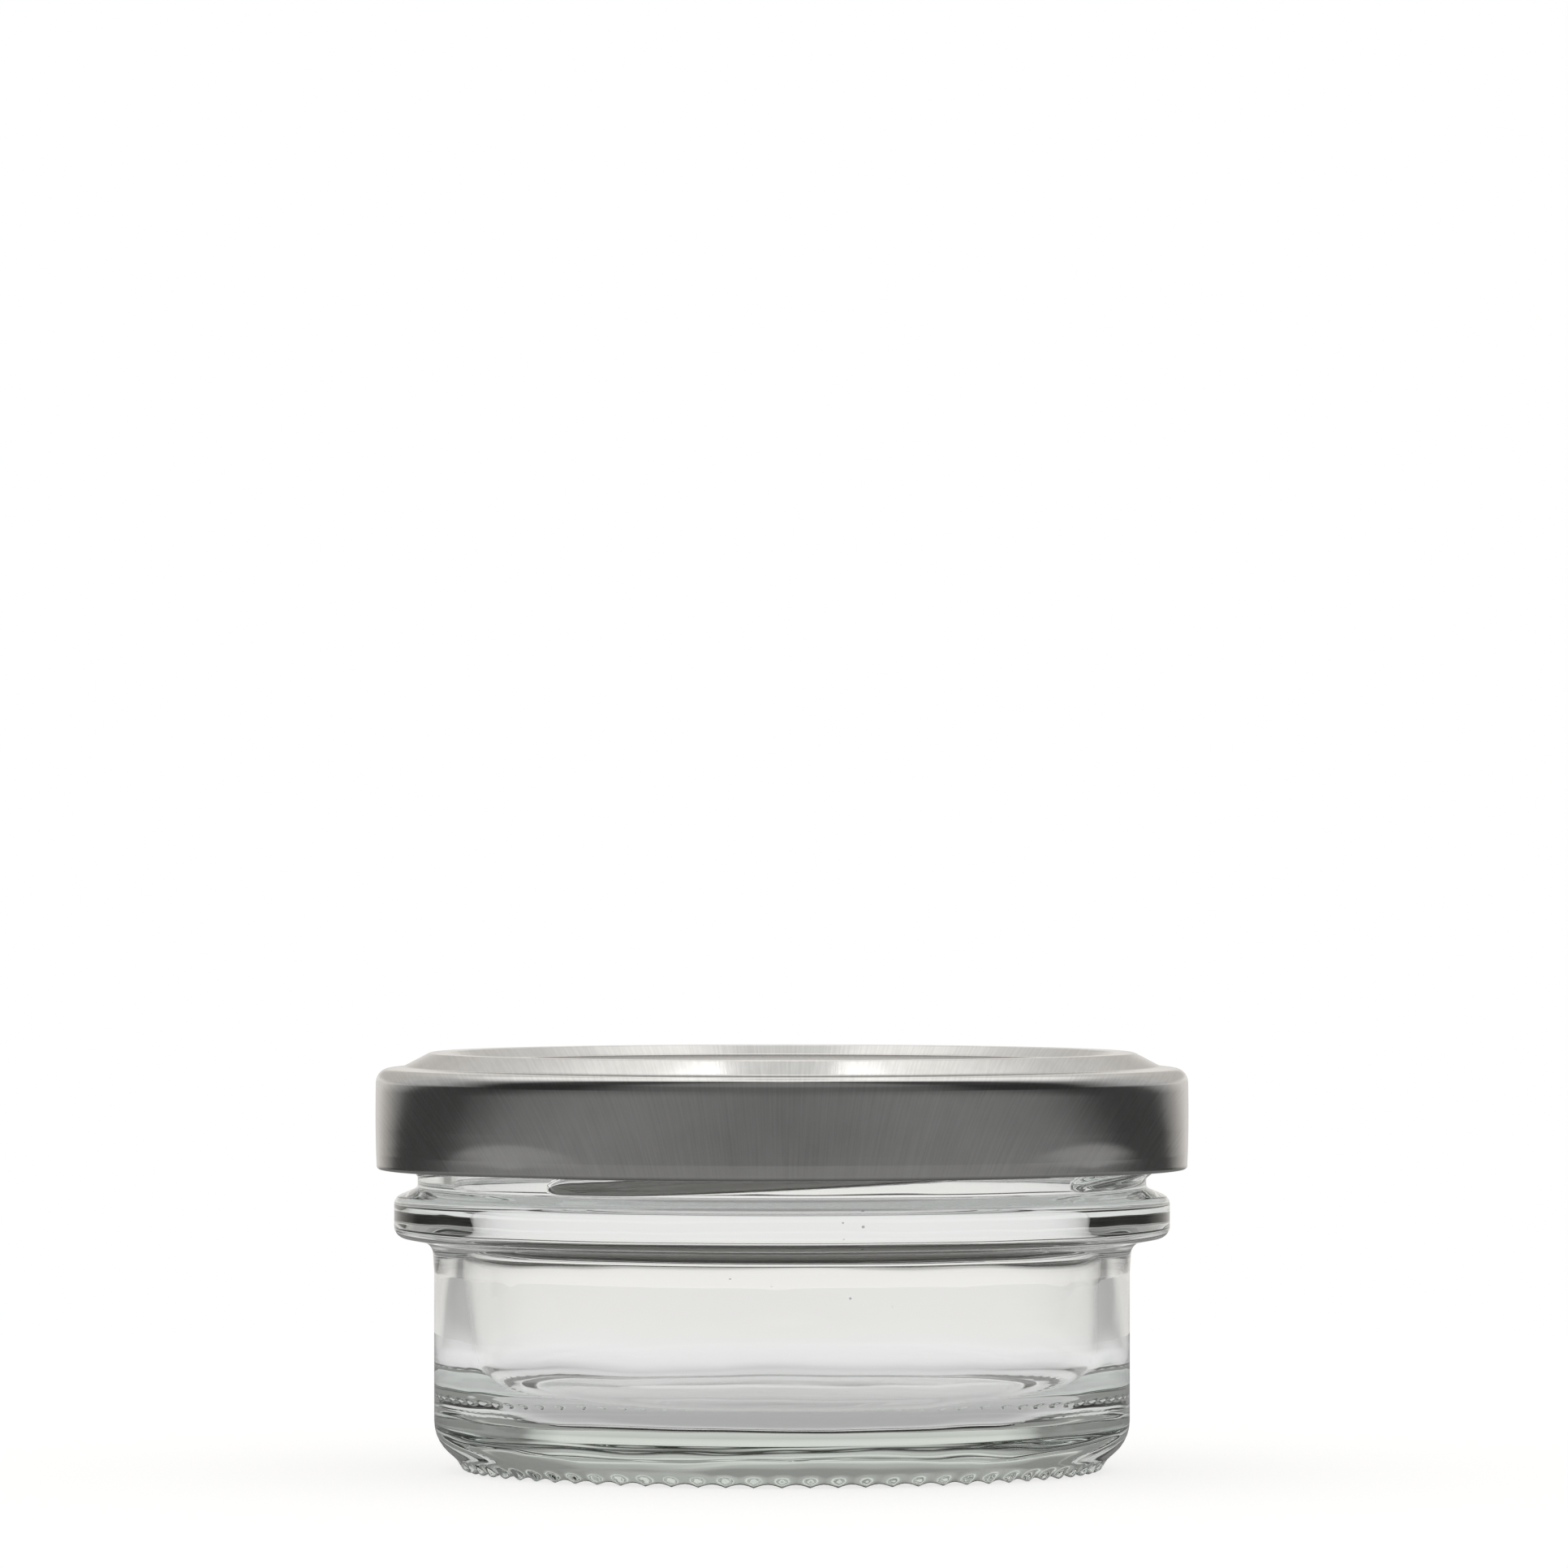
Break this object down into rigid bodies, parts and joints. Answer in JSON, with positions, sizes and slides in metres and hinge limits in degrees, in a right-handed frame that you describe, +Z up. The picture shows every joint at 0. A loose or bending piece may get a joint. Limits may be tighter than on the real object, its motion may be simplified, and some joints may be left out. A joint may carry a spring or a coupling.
{
  "type": "straight-sided jar",
  "caption": "Low straight-sided clear glass jar with a thick base and a bead under its mouth, closed by a plain bare-metal lug twist-off lid with a sealing ring inside.",
  "frame": {"origin": "centre of the base, on the plane that the jar stands on", "axes": "+Z up along the axis of the jar; -Y is the pictured front and +X is to its right"},
  "size_m": [0.069, 0.069, 0.0355],
  "materials": {
    "jar_glass": "clear, smooth, faint green where it is thick",
    "seal_compound": "matt off-white",
    "lid_tinplate": "satin tinplate under a clear lacquer"
  },
  "bodies": {
    "jar": {"glass_jar": "jar_glass"},
    "seal": {"sealing_ring": "seal_compound"},
    "lid": {"lid_shell": "lid_tinplate"}
  },
  "joints": [
    {"name": "lid_lift", "type": "slide", "parent": "jar", "child": "seal", "axis": [0, 0, 1], "range_m": [0, 0.015]},
    {"name": "lid_turn", "type": "hinge", "parent": "seal", "child": "lid", "pos_m": [0, 0, 0.03], "axis": [0, 0, 1], "range_deg": [0, 540]}
  ],
  "couplings": [
    {"joint": "lid_lift", "follows": "lid_turn", "m_per_rad": 0.0015915}
  ]
}
